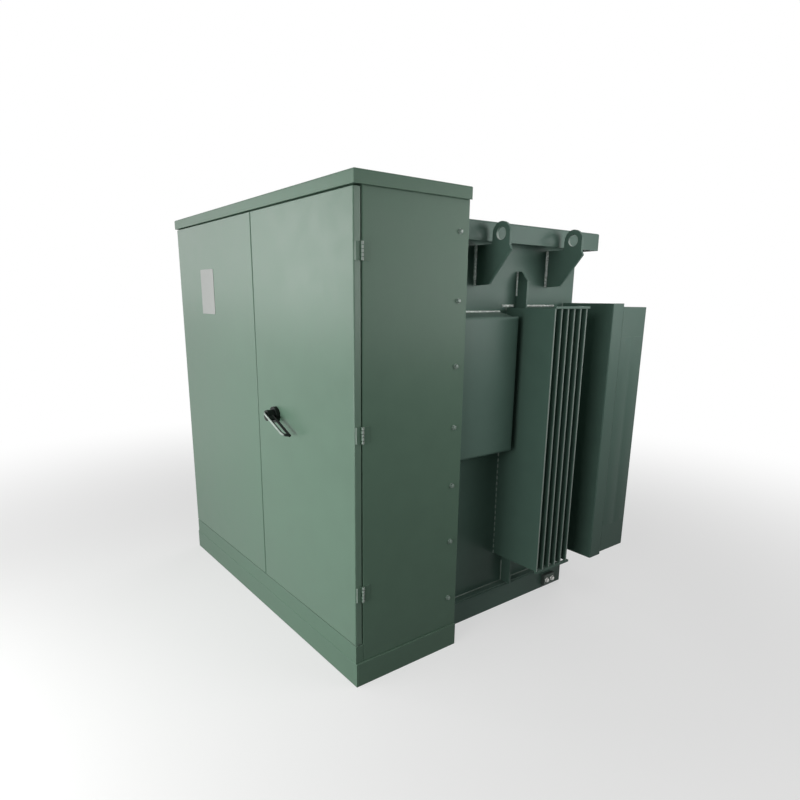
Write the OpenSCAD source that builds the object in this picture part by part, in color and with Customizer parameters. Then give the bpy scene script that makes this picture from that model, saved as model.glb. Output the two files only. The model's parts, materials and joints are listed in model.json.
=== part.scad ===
// Pad-mounted power transformer: a two-door terminal cabinet in front of an oil tank with radiator fins.
// Millimetres. +Z is up and the doors face -Y. The origin is on the ground, in the middle of the box round it.

/* [Overall] */
// Height from the ground to the top of the cabinet's roof
overall_height = 1950; // [1850:10:2050]

/* [Cabinet] */
// Width across the plinth
cabinet_width = 1780; // [1700:10:1900]
// Depth from the doors to the back of the tank's front plate
cabinet_depth = 540; // [500:10:620]
// Height of the plinth rails
plinth_height = 102; // [90:1:120]
// Height of the sill strip that stands on the plinth
sill_height = 78; // [60:1:100]
// Distance that the doors and side panels stand inside the plinth's side faces
plinth_step = 7; // [5:1:10]
// Thickness of the cabinet's sheet steel
sheet = 3; // [2:0.5:4]
// Height of the roof's lip
roof_lip = 47; // [40:1:60]
// Distance that the roof reaches past the plinth
roof_overhang = 6; // [4:1:12]

/* [Doors] */
// Distance of the seam between the doors to the right of the middle
seam_offset = 76; // [-40:2:120]
// Depth of the door pans
door_depth = 29; // [26:1:34]
// Running gap round the doors
door_gap = 6; // [5.5:0.5:8]
// Height of one hinge
hinge_height = 63; // [55:1:75]

/* [Handle] */
// Height of the handle's spindle above the ground
handle_height = 1030; // [950:2:1100]
// Distance of the spindle from the door's free edge
handle_inset = 183; // [150:1:220]
// Length of the handle's loop from the spindle
handle_length = 186; // [160:2:210]
// Distance that the handle stands out from the door
handle_reach = 62; // [56:1:72]
// Angle of the resting handle below level
handle_droop = 22; // [0:1:25]

/* [Tank] */
// Width across the side walls
tank_width = 1462; // [1400:2:1500]
// Depth from the front plate to the rear wall
tank_depth = 892; // [860:2:960]
// Thickness of the tank's walls
tank_plate = 8; // [6:1:10]
// Height of the base rails
base_height = 106; // [95:1:120]
// Distance from the roof's top down to the cover's top
cover_drop = 100; // [90:1:120]
// Height of the cover's rim
rim_height = 80; // [65:1:95]
// Distance that the rim stands out from the walls
rim_overhang = 74; // [60:1:78]

/* [Lifting lugs] */
// Thickness of a lug
lug_plate = 12; // [10:1:20]
// Radius of a lug's eye
lug_eye_radius = 25; // [20:1:28]

/* [Radiators] */
// Number of fins in each side bank
side_fin_count = 6; // [4:1:6]
// Distance between neighbouring fins
fin_pitch = 44; // [42:1:45]
// Thickness of a fin
fin_thickness = 9; // [7:0.5:10]
// Distance that the side fins stand out from the tank's wall
side_fin_reach = 276; // [240:2:290]
// Distance that the rear fins stand out from the tank's wall
rear_fin_reach = 208; // [180:2:240]

/* [Hidden] */
$fn = 48;

green = [0.20, 0.30, 0.26];
pale_green = [0.45, 0.55, 0.50];
dark = [0.06, 0.08, 0.07];
steel = [0.60, 0.62, 0.62];
porcelain = [0.45, 0.42, 0.40];

// Places along Y
total_depth = cabinet_depth + tank_depth + rear_fin_reach;
y_front = (handle_reach - total_depth) / 2;
y_plate = y_front + cabinet_depth;
y_rear = y_plate + tank_depth;
y_back = y_rear + rear_fin_reach;

// Cabinet
half_plinth = cabinet_width / 2;
half_side = half_plinth - plinth_step;
plinth_plate = 6;
plinth_flange = 46;
jamb_gap = 5.5;
sill_setback = 1;
sill_bend = 4;
sill_depth = door_depth + jamb_gap - sill_setback;
roof_bottom = overall_height - roof_lip;
roof_underside = overall_height - sheet;
roof_bend = 6;
door_bend = 4;
jamb_bend = 6;
jamb_width = 32;
y_jamb = y_front + door_depth + jamb_gap;
front_plate_flange = 60;
top_rail_depth = 30;
top_rail_drop = 82;
barrier_front_gap = 40;

// Doors
seam_x = seam_offset;
door_bottom = plinth_height + sill_height + door_gap;
door_top = roof_bottom - door_gap;
barrel_radius = 6;
pin_radius = 3;
pin_clearance = 0.06;
leaf = 4;
leaf_bevel = 4;
leaf_margin = 1;
barrel_seat = 0.5;
frame_leaf_length = 25;
door_leaf_length = 21;
knuckle_count = 5;
knuckle_gap = 3;
knuckle_height = (hinge_height - (knuckle_count - 1) * knuckle_gap) / knuckle_count;
hinge_x = half_side + barrel_radius + barrel_seat;
hinge_y = y_front + door_depth + jamb_gap / 2;
door_height = door_top - door_bottom;
hinge_centres = [door_bottom + 0.128 * door_height, door_bottom + 0.502 * door_height,
    door_bottom + 0.880 * door_height];

// Handle
handle_x = seam_x + door_gap / 2 + handle_inset;
handle_bar = 6;
handle_slot = 15;
handle_corner = 10;
handle_heel = 7;
handle_lift = 8;
handle_web = 8;
handle_web_length = 50;
rose_radius = 36;
rose_depth = 17;
spindle_radius = 9;
boss_radius = 24;
boss_gap = 1;
boss_recess = 12;

// Tank
half_tank = tank_width / 2;
base_step = 39;
base_tail = 28;
base_half = half_tank + base_step;
base_rear = y_rear + base_tail;
rail_web = 6;
rail_flange = 50;
cross_rail_flange = 70;
floor_plate = 10;
floor_inset = 4;
wall_bottom = base_height + floor_plate;
cover_top = overall_height - cover_drop;
cover_plate = 10;
rim_plate = 6;
rim_bend = 8;
rim_bottom = cover_top - rim_height;
wall_top = cover_top - cover_plate;

// Lifting lugs, measured from the wall and from the rim's lower edge
lug_ring_wall = 22;
lug_rim_gap = 19;
lug_eye_rise = 27;
lug_foot_gap = 12;
lug_foot_drop = 178;
lug_foot_rise = 4;
lug_foot_reach = 82;
lug_elbow_reach = 56;
lug_elbow_drop = 38;
lug_neck = 47;
lug_front_inset = 201;
lug_rear_inset = 213;
lug_ring_radius = lug_eye_radius + lug_ring_wall;
lug_ring_x = rim_overhang + lug_ring_radius + lug_rim_gap;
lug_ring_z = rim_bottom + lug_eye_rise;
lug_foot_top = rim_bottom - lug_foot_gap;
lug_foot_bottom = rim_bottom - lug_foot_drop;
lug_elbow = [lug_ring_x + lug_elbow_reach, rim_bottom - lug_elbow_drop];
lug_places = [y_plate + lug_front_inset, y_rear - lug_rear_inset];

// Radiators
fin_inset = 410;
fin_drop = 453;
side_fin_first = y_plate + fin_inset;
fin_bottom = 285;
fin_top = overall_height - fin_drop;
tie_height = 10;
tie_depth = 14;
tie_lip = 3;
tie_tail = 12;
rib_y = side_fin_first + 1.5 * fin_pitch;
rib_reach = 60;
rib_plate = 10;
rib_drop = 112;
rib_top = rim_bottom - rib_drop;
rib_nose = 24;
rib_bevel = 43;
header_depth = 75;
header_tail = 14;
header_lip = 10;
header_rise = 23;
header_front = y_rear - header_depth;
header_rear = y_rear + header_tail;
header_half = half_tank + side_fin_reach + header_lip;
header_bottom = 250;
header_top = fin_top + header_rise;
header_round = 6;
panel_bottom = 262;
panel_rise = 6;
panel_top = fin_top + panel_rise;
panel_plate = 6;
panel_swell = 2;
panel_channels = 2;
channel_land = 12;
channel_margin = 140;
channel_steps = 720;
rear_fin_half_count = floor((header_half - panel_plate - fin_pitch * 0.6) / fin_pitch);

// Side boxes
box_inset = 20;
box_width = 345;
box_drop = 35;
box_slope = 18;
box_front = y_plate + box_inset;
box_rear = box_front + box_width;
box_bottom = 850;
box_top = fin_top - box_drop;
box_reach = 118;
lid_depth = 24;
lid_lip = 4;
lid_round = 12;

// Bushings and ground pads
hv_height = 1180;
hv_places = [-650, -420, -190];
hv_flange_radius = 62;
hv_body_radius = 44;
hv_tip_radius = 30;
hv_cone_start = 60;
hv_length = 156;
lv_height = 1300;
lv_places = [220, 390, 560, 730];
lv_flange_radius = 56;
lv_body_radius = 40;
lv_length = 84;
bushing_flange = 14;
bushing_chamfer = 6;
spade_size = [76, 12, 120];
spade_hole_spacing = 44;
spade_hole_radius = 7;
spade_hole_inset = 20;
pad_inset = 87;
pad_y = y_rear - pad_inset;
pad_z = 46;
pad_size = [20, 84, 60];
pad_bolt_spacing = 44;
pad_bolt_radius = 6;

module span(low, high) {
    translate(low) cube(high - low);
}

module both_sides() {
    children();
    mirror([1, 0, 0]) children();
}

// Outline in X and Z, made into a plate of the given thickness about the plane y = 0
module upright_plate(thickness) {
    translate([0, thickness / 2, 0]) rotate([90, 0, 0]) linear_extrude(thickness) children();
}

// Rectangle with round corners, made of true arcs
module round_rectangle(low, high, radius) {
    translate([low.x + radius, low.y]) square([high.x - low.x - 2 * radius, high.y - low.y]);
    translate([low.x, low.y + radius]) square([high.x - low.x, high.y - low.y - 2 * radius]);
    for (x = [low.x + radius, high.x - radius], y = [low.y + radius, high.y - radius])
        translate([x, y]) circle(radius);
}

// Rectangle whose upper corners are bent to a radius, each where it is asked for
module bent_top(low, high, radius, left = true, right = true) {
    left_cut = left ? radius : 0;
    right_cut = right ? radius : 0;
    translate(low) square([high.x - low.x, high.y - low.y - radius]);
    translate([low.x + left_cut, low.y]) square([high.x - low.x - left_cut - right_cut, high.y - low.y]);
    if (left) translate([low.x + radius, high.y - radius]) circle(radius);
    if (right) translate([high.x - radius, high.y - radius]) circle(radius);
}

// Outline in X and Z, drawn out along Y
module along_y(from, to) {
    translate([0, to, 0]) rotate([90, 0, 0]) linear_extrude(to - from) children();
}

// Outline in Y and Z, drawn out along X
module along_x(from, to) {
    translate([from, 0, 0]) rotate([90, 0, 90]) linear_extrude(to - from) children();
}

// Channel outline with its web on the right, in X and Z
module channel_outline(height, flange, web) {
    difference() {
        translate([-flange, 0]) square([flange, height]);
        translate([-flange - 1, web]) square([flange - web + 1, height - 2 * web]);
    }
}

// Base of the tank
module base_side_rails() {
    color(green) both_sides() along_y(y_plate, base_rear) translate([base_half, 0])
        channel_outline(base_height, rail_flange, rail_web);
}

module base_cross_rails() {
    half = base_half - rail_flange;
    color(green) for (y = [y_plate + cross_rail_flange, (y_plate + base_rear + cross_rail_flange) / 2, base_rear])
        along_x(-half, half) translate([y, 0]) channel_outline(base_height, cross_rail_flange, rail_web);
}

module tank_floor() {
    color(green) span([-base_half + floor_inset, y_plate, base_height],
        [base_half - floor_inset, base_rear - floor_inset, wall_bottom]);
}

// Tank shell
module tank_front_plate() {
    half = half_side - sheet;
    color(green) {
        span([-half, y_plate - tank_plate, plinth_height], [half, y_plate, roof_underside]);
        both_sides() span([half - tank_plate, y_plate - front_plate_flange, plinth_height],
            [half, y_plate - tank_plate, roof_underside]);
    }
}

module tank_right_wall() {
    color(green) span([half_tank - tank_plate, y_plate, wall_bottom], [half_tank, y_rear, wall_top]);
}

module tank_left_wall() {
    mirror([1, 0, 0]) tank_right_wall();
}

module tank_rear_wall() {
    half = half_tank - tank_plate;
    color(green) span([-half, y_rear - tank_plate, wall_bottom], [half, y_rear, wall_top]);
}

module tank_cover() {
    half = half_tank + rim_overhang;
    rear = y_rear + rim_overhang;
    color(green) difference() {
        intersection() {
            along_y(y_plate, rear) bent_top([-half, rim_bottom], [half, cover_top], rim_bend);
            along_x(-half, half) bent_top([y_plate, rim_bottom], [rear, cover_top], rim_bend, left = false);
        }
        span([-half + rim_plate, y_plate - 1, rim_bottom - 1], [half - rim_plate, rear - rim_plate, wall_top]);
    }
}

// Lug outline, measured from the wall
module lug_outline() {
    difference() {
        union() {
            polygon([
                [0, lug_foot_bottom], [lug_foot_reach, lug_foot_bottom + lug_foot_rise], lug_elbow,
                [lug_ring_x + lug_ring_radius, lug_ring_z - lug_neck], [lug_ring_x + lug_ring_radius, lug_ring_z],
                [lug_ring_x - lug_ring_radius, lug_ring_z], [lug_ring_x - lug_ring_radius, lug_foot_top],
                [0, lug_foot_top]
            ]);
            translate([lug_ring_x, lug_ring_z]) circle(lug_ring_radius);
        }
        translate([lug_ring_x, lug_ring_z]) circle(lug_eye_radius);
    }
}

module right_lifting_lugs() {
    color(green) for (y = lug_places)
        translate([half_tank, y, 0]) upright_plate(lug_plate) lug_outline();
}

module left_lifting_lugs() {
    mirror([1, 0, 0]) right_lifting_lugs();
}

module right_wall_rib() {
    color(green) translate([half_tank, rib_y, 0]) upright_plate(rib_plate) polygon([
        [0, wall_bottom], [rib_reach, wall_bottom], [rib_reach, rib_top - rib_bevel], [rib_nose, rib_top], [0, rib_top]
    ]);
}

module left_wall_rib() {
    mirror([1, 0, 0]) right_wall_rib();
}

// Side boxes: a body whose top slopes down from the wall, and a lid with round edges
module right_side_box() {
    outer = half_tank + box_reach - lid_depth;
    color(green) along_y(box_front + lid_lip, box_rear - lid_lip) polygon([
        [half_tank, box_bottom + lid_lip], [outer, box_bottom + lid_lip], [outer, box_top - lid_lip],
        [half_tank, box_top + box_slope]
    ]);
}

module right_box_lid() {
    color(green) intersection() {
        translate([0, 0, box_bottom]) linear_extrude(box_top - box_bottom)
            lid_section([half_tank + box_reach - lid_depth, box_front], [half_tank + box_reach, box_rear]);
        along_y(box_front, box_rear)
            lid_section([half_tank + box_reach - lid_depth, box_bottom], [half_tank + box_reach, box_top]);
    }
}

// Rectangle whose two outer corners are round
module lid_section(low, high) {
    square_high = high.x - lid_round;
    translate(low) square([square_high - low.x, high.y - low.y]);
    translate([low.x, low.y + lid_round]) square([high.x - low.x, high.y - low.y - 2 * lid_round]);
    for (y = [low.y + lid_round, high.y - lid_round])
        translate([square_high, y]) circle(lid_round);
}

module left_side_box() {
    mirror([1, 0, 0]) right_side_box();
}

module left_box_lid() {
    mirror([1, 0, 0]) right_box_lid();
}

// A fin that stands out along +X from x = 0, with a round nose
module fin(reach, bottom, top) {
    nose = fin_thickness / 2;
    translate([0, 0, bottom]) linear_extrude(top - bottom) {
        translate([0, -nose]) square([reach - nose, fin_thickness]);
        translate([reach - nose, 0]) circle(nose);
    }
}

module right_fins() {
    color(green) for (i = [0 : side_fin_count - 1])
        translate([half_tank, side_fin_first + i * fin_pitch, 0]) fin(side_fin_reach, fin_bottom, fin_top);
}

module left_fins() {
    mirror([1, 0, 0]) right_fins();
}

// Flat bars across the fins' ends
module right_fin_ties() {
    outer = half_tank + side_fin_reach + tie_lip;
    low = side_fin_first - fin_thickness / 2;
    high = low + (side_fin_count - 1) * fin_pitch + fin_thickness + tie_tail;
    color(green) for (z = [fin_bottom - tie_height, fin_top])
        span([outer - tie_depth, low, z], [outer, high, z + tie_height]);
}

module left_fin_ties() {
    mirror([1, 0, 0]) right_fin_ties();
}

// Broad oil headers at the rear corners
module right_corner_header() {
    color(green) translate([0, 0, header_bottom]) linear_extrude(header_top - header_bottom)
        difference() {
            round_rectangle([half_tank - 2 * header_round, header_front], [header_half, header_rear], header_round);
            translate([0, header_front - 1]) square([half_tank, header_rear - header_front + 2]);
        }
}

module left_corner_header() {
    mirror([1, 0, 0]) right_corner_header();
}

// Rear bank of fins, the middle ones on the tank's wall and the outer ones on the corner headers
module rear_fins() {
    color(green) for (i = [-rear_fin_half_count : rear_fin_half_count]) {
        x = i * fin_pitch;
        root = abs(x) > half_tank - fin_thickness ? header_rear : y_rear;
        translate([x, root, 0]) rotate([0, 0, 90])
            fin(y_back - root, panel_bottom + tie_height, panel_top - tie_height);
    }
}

// Shallow swelling that stands upright on the plane x = 0
module oil_channel(low, high, half_width) {
    radius = (pow(half_width, 2) + pow(panel_swell, 2)) / (2 * panel_swell);
    sunk = 0.2;
    translate([0, 0, low]) linear_extrude(high - low) difference() {
        translate([panel_swell - radius, 0]) circle(radius, $fn = channel_steps);
        translate([-2 * radius - sunk, -radius - 1]) square([2 * radius, 2 * radius + 2]);
    }
}

// End panels of the rear bank, each with upright oil channels that swell out of its outer face
module rear_end_panels() {
    face = header_half - panel_swell;
    channel = (y_back - header_rear) / panel_channels;
    color(green) both_sides() {
        span([face - panel_plate, header_rear, panel_bottom], [face, y_back, panel_top]);
        for (i = [0 : panel_channels - 1])
            translate([face, header_rear + (i + 0.5) * channel, 0])
                oil_channel(panel_bottom + channel_margin, panel_top - channel_margin, (channel - channel_land) / 2);
    }
}

module rear_fin_ties() {
    half = header_half - panel_plate - panel_swell;
    color(green) for (z = [panel_bottom, panel_top - tie_height])
        span([-half, y_back - tie_depth, z], [half, y_back, z + tie_height]);
}

// Cabinet
module plinth_front() {
    color(green) {
        span([-half_plinth, y_front, 0], [half_plinth, y_front + plinth_plate, plinth_height]);
        span([-half_plinth + plinth_plate, y_front + plinth_plate, plinth_height - plinth_plate],
            [half_plinth - plinth_plate, y_front + plinth_flange, plinth_height]);
    }
}

module plinth_sides() {
    color(green) both_sides() {
        span([half_plinth - plinth_plate, y_front + plinth_plate, 0], [half_plinth, y_plate, plinth_height]);
        span([half_plinth - plinth_flange, y_front + plinth_flange, plinth_height - plinth_plate],
            [half_plinth - plinth_plate, y_plate, plinth_height]);
    }
}

module cabinet_sill() {
    front = y_front + sill_setback;
    top = plinth_height + sill_height;
    color(green) difference() {
        along_x(-half_side, half_side)
            bent_top([front, plinth_height], [front + sill_depth, top], sill_bend, right = false);
        span([-half_side + sheet, front + sheet, plinth_height - 1], [half_side - sheet, y_jamb + 1, top - sheet]);
    }
}

// A side panel whose front edge is folded inwards as the door's jamb
module cabinet_right_side() {
    color(green) translate([0, 0, plinth_height]) linear_extrude(roof_underside - plinth_height) difference() {
        mirror([0, 1]) bent_top([half_side - jamb_width, -y_plate], [half_side, -y_jamb], jamb_bend, left = false);
        translate([half_side - jamb_width - 1, y_jamb + sheet]) square([jamb_width - sheet + 1, y_plate - y_jamb]);
    }
}

module cabinet_left_side() {
    mirror([1, 0, 0]) cabinet_right_side();
}

module cabinet_top_rail() {
    half = half_side - sheet;
    color(green) span([-half, y_jamb + sheet, roof_underside - top_rail_drop],
        [half, y_jamb + sheet + top_rail_depth, roof_underside]);
}

module cabinet_roof() {
    half = half_plinth + roof_overhang;
    front = y_front - roof_overhang;
    color(green) difference() {
        intersection() {
            along_y(front, y_plate) bent_top([-half, roof_bottom], [half, overall_height], roof_bend);
            along_x(-half, half) bent_top([front, roof_bottom], [y_plate, overall_height], roof_bend, right = false);
        }
        span([-half + sheet, front + sheet, roof_bottom - 1], [half - sheet, y_plate + 1, roof_underside]);
    }
}

module compartment_barrier() {
    color(green) span([seam_x - sheet / 2, y_jamb + barrier_front_gap, plinth_height],
        [seam_x + sheet / 2, y_plate - tank_plate, roof_underside]);
}

// Bushings on the tank's front plate, with their axes along -Y
module on_front_plate(x, z) {
    translate([x, y_plate - tank_plate, z]) rotate([90, 0, 0]) children();
}

module hv_bushings() {
    color(porcelain) for (x = hv_places) on_front_plate(x, hv_height) rotate_extrude() polygon([
        [0, 0], [hv_flange_radius, 0], [hv_flange_radius, bushing_flange], [hv_body_radius, bushing_flange],
        [hv_body_radius, hv_cone_start], [hv_tip_radius, hv_length - bushing_chamfer],
        [hv_tip_radius - bushing_chamfer, hv_length], [0, hv_length]
    ]);
}

module lv_bushings() {
    color(porcelain) for (x = lv_places) on_front_plate(x, lv_height) rotate_extrude() polygon([
        [0, 0], [lv_flange_radius, 0], [lv_flange_radius, bushing_flange], [lv_body_radius, bushing_flange],
        [lv_body_radius, lv_length - bushing_chamfer], [lv_body_radius - bushing_chamfer, lv_length], [0, lv_length]
    ]);
}

// Flat terminals that lie level, each with four holes
module lv_spades() {
    hole_far = spade_size.z - spade_hole_inset;
    color(steel) for (x = lv_places)
        on_front_plate(x, lv_height) translate([0, -spade_size.y / 2, lv_length]) difference() {
            span([-spade_size.x / 2, 0, 0], [spade_size.x / 2, spade_size.y, spade_size.z]);
            for (across = [-1, 1], along = [hole_far, hole_far - spade_hole_spacing])
                translate([across * spade_hole_spacing / 2, spade_size.y + 1, along]) rotate([90, 0, 0])
                    cylinder(h = spade_size.y + 2, r = spade_hole_radius);
        }
}

// Ground pads on the base rails, each with two bolt holes
module ground_pads() {
    color(steel) both_sides() difference() {
        span([base_half, pad_y - pad_size.y / 2, pad_z - pad_size.z / 2],
            [base_half + pad_size.x, pad_y + pad_size.y / 2, pad_z + pad_size.z / 2]);
        for (side = [-1, 1])
            translate([base_half - 1, pad_y + side * pad_bolt_spacing / 2, pad_z]) rotate([0, 90, 0])
                cylinder(h = pad_size.x + 2, r = pad_bolt_radius);
    }
}

// Hinges: odd knuckles belong to the frame leaf, which carries the pin, and even ones to the door leaf
module knuckle_place(i) {
    translate([hinge_x, hinge_y, i * (knuckle_height + knuckle_gap)]) children();
}

module frame_hinge() {
    leaf_start = hinge_y + barrel_radius + leaf_margin;
    span([half_side, leaf_start, 0], [half_side + leaf, leaf_start + frame_leaf_length, hinge_height]);
    translate([hinge_x, hinge_y, 0]) cylinder(h = hinge_height, r = pin_radius);
    for (i = [0 : 2 : knuckle_count - 1]) {
        base = i * (knuckle_height + knuckle_gap);
        knuckle_place(i) cylinder(h = knuckle_height, r = barrel_radius);
        span([half_side, hinge_y, base], [half_side + leaf, leaf_start, base + knuckle_height]);
    }
}

module door_hinge() {
    leaf_start = hinge_y - barrel_radius - leaf_margin;
    difference() {
        union() {
            linear_extrude(hinge_height) polygon([
                [half_side, leaf_start - door_leaf_length], [half_side + leaf, leaf_start - door_leaf_length + leaf_bevel],
                [half_side + leaf, leaf_start], [half_side, leaf_start]
            ]);
            for (i = [1 : 2 : knuckle_count - 1]) {
                base = i * (knuckle_height + knuckle_gap);
                knuckle_place(i) cylinder(h = knuckle_height, r = barrel_radius);
                span([half_side, leaf_start, base], [half_side + leaf, hinge_y, base + knuckle_height]);
            }
        }
        translate([hinge_x, hinge_y, -1]) cylinder(h = hinge_height + 2, r = pin_radius + pin_clearance);
    }
}

module hinge_row() {
    for (z = hinge_centres) translate([0, 0, z - hinge_height / 2]) children();
}

module right_frame_hinges() {
    color(steel) hinge_row() frame_hinge();
}

module left_frame_hinges() {
    mirror([1, 0, 0]) right_frame_hinges();
}

module right_door_hinges() {
    color(steel) hinge_row() door_hinge();
}

module left_door_hinges() {
    mirror([1, 0, 0]) right_door_hinges();
}

// Doors: shallow pans that open to the rear, with bent upright edges
module door_pan(low_x, high_x) {
    difference() {
        translate([0, 0, door_bottom]) linear_extrude(door_height) mirror([0, 1])
            bent_top([low_x, -y_front - door_depth], [high_x, -y_front], door_bend);
        span([low_x + sheet, y_front + sheet, door_bottom + sheet],
            [high_x - sheet, y_front + door_depth + 1, door_top - sheet]);
    }
}

module right_door() {
    color(pale_green) door_pan(seam_x + door_gap / 2, half_side);
}

module left_door() {
    color(pale_green) door_pan(-half_side, seam_x - door_gap / 2);
}

// Handle: a loop of round bar, partly filled by a web, on a boss whose spindle turns in a round rose
module at_handle() {
    translate([handle_x, y_front, handle_height]) children();
}

module along_spindle() {
    rotate([90, 0, 0]) children();
}

module handle_base() {
    color(dark) at_handle() difference() {
        along_spindle() cylinder(h = rose_depth, r = rose_radius);
        translate([0, 1, 0]) along_spindle() cylinder(h = rose_depth + 2, r = spindle_radius + pin_clearance);
    }
}

module along_lever(start, line, length) {
    translate([start, -line, 0]) rotate([0, 90, 0]) cylinder(h = length, r = handle_bar);
}

module handle_loop() {
    front_line = handle_reach - handle_bar;
    back_line = front_line - 2 * handle_bar - handle_slot;
    turn_radius = front_line - back_line;
    turn_start = handle_length - turn_radius - handle_bar;
    corner_start = handle_corner - handle_heel;
    along_lever(-handle_heel, back_line, handle_length + handle_heel);
    along_lever(corner_start, front_line, turn_start - corner_start);
    translate([-handle_heel, -back_line, 0]) along_spindle()
        cylinder(h = front_line - back_line - handle_corner, r = handle_bar);
    translate([corner_start, handle_corner - front_line, 0]) rotate([0, 0, 180])
        rotate_extrude(angle = 90) translate([handle_corner, 0]) circle(handle_bar);
    translate([turn_start, -back_line, 0]) rotate([0, 0, -90])
        rotate_extrude(angle = 90) translate([turn_radius, 0]) circle(handle_bar);
    span([-handle_heel, -front_line, -handle_web / 2], [handle_web_length, -back_line, handle_web / 2]);
}

module door_handle() {
    boss_start = rose_depth + boss_gap;
    color(dark) at_handle() rotate([0, handle_droop, 0]) {
        translate([0, -1, 0]) along_spindle() cylinder(h = boss_start, r = spindle_radius);
        translate([0, -boss_start, 0]) along_spindle()
            cylinder(h = handle_reach - boss_recess - boss_start, r = boss_radius);
        translate([0, 0, handle_lift]) handle_loop();
    }
}

base_side_rails();
base_cross_rails();
tank_floor();
tank_front_plate();
tank_right_wall();
tank_left_wall();
tank_rear_wall();
tank_cover();
right_lifting_lugs();
left_lifting_lugs();
right_wall_rib();
left_wall_rib();
right_side_box();
right_box_lid();
left_side_box();
left_box_lid();
right_fins();
right_fin_ties();
left_fins();
left_fin_ties();
right_corner_header();
left_corner_header();
rear_fins();
rear_end_panels();
rear_fin_ties();
plinth_front();
plinth_sides();
cabinet_sill();
cabinet_right_side();
cabinet_left_side();
cabinet_top_rail();
cabinet_roof();
compartment_barrier();
hv_bushings();
lv_bushings();
lv_spades();
ground_pads();
right_frame_hinges();
left_frame_hinges();
right_door();
right_door_hinges();
handle_base();
door_handle();
left_door();
left_door_hinges();
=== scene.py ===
"""Looks of a pad-mounted power transformer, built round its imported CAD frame.

Every CAD piece gets its paint, metal or insulator finish.
Bolts, weld beads, nuts and a bare plate are added.
"""

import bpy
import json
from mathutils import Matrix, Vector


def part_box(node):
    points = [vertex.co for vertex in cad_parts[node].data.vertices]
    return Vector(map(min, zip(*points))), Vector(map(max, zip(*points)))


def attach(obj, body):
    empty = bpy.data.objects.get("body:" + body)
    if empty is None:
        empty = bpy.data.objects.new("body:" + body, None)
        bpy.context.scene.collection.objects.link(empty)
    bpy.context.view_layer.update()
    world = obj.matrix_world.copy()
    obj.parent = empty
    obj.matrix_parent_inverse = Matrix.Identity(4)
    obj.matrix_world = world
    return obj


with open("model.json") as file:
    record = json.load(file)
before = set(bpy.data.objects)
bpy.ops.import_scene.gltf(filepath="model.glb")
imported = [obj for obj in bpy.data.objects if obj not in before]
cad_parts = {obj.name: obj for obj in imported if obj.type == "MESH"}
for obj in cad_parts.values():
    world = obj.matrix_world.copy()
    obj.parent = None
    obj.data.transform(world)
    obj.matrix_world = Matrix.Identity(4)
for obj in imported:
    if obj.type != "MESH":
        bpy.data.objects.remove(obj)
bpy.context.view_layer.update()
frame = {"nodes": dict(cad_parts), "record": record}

import json
import math

import bmesh
import bpy
from bpy.props import FloatProperty, FloatVectorProperty, IntProperty, PointerProperty
from mathutils import Matrix, Vector

bl_info = {
    "name": "Pad-mounted transformer looks",
    "version": (1, 0, 0),
    "blender": (4, 5, 0),
    "location": "View3D > Sidebar > Transformer",
    "description": "Finishes, bolts, welds and stage for a pad-mounted power transformer",
    "category": "Object",
}

SIDES = (1, -1)
BOLT_HEAD_HEIGHT = 0.0075
NUT_HEIGHT = 0.006
NUT_WASHER_SHARE = 1.15
FINISH_OF_NODE = {
    "right_door": "door_green",
    "left_door": "door_green",
    "right_lifting_lugs": "lug_green",
    "left_lifting_lugs": "lug_green",
    "right_fins": "fin_edge_green",
    "left_fins": "fin_edge_green",
    "rear_fins": "fin_edge_green",
    "right_frame_hinges": "hinge_green",
    "left_frame_hinges": "hinge_green",
    "right_door_hinges": "hinge_green",
    "left_door_hinges": "hinge_green",
    "ground_pads": "dull_steel",
}
FINISH_OF_SLOT = {
    "cabinet_paint": "cabinet_green",
    "tank_paint": "tank_green",
    "fin_paint": "fin_green",
    "insulator": "moulded_insulator",
    "tinned_spade": "tinned_copper",
    "bare_steel": "bright_steel",
    "handle_metal": "black_enamel",
}


def box_low(node):
    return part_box(node)[0]


def box_high(node):
    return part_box(node)[1]


# Settings


def colour_setting(name, description, default):
    return FloatVectorProperty(
        name=name, description=description, default=default, size=3, min=0.0, max=1.0, subtype="COLOR"
    )


def length_setting(name, description, default):
    return FloatProperty(
        name=name, description=description, default=default, min=0.0,
        subtype="DISTANCE", unit="LENGTH", precision=4,
    )


def share_setting(name, description, default):
    return FloatProperty(
        name=name, description=description, default=default, min=0.0, max=1.0, subtype="FACTOR"
    )


def power_setting(name, description, default):
    return FloatProperty(
        name=name, description=description, default=default, min=0.0, subtype="POWER", unit="POWER"
    )


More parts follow.
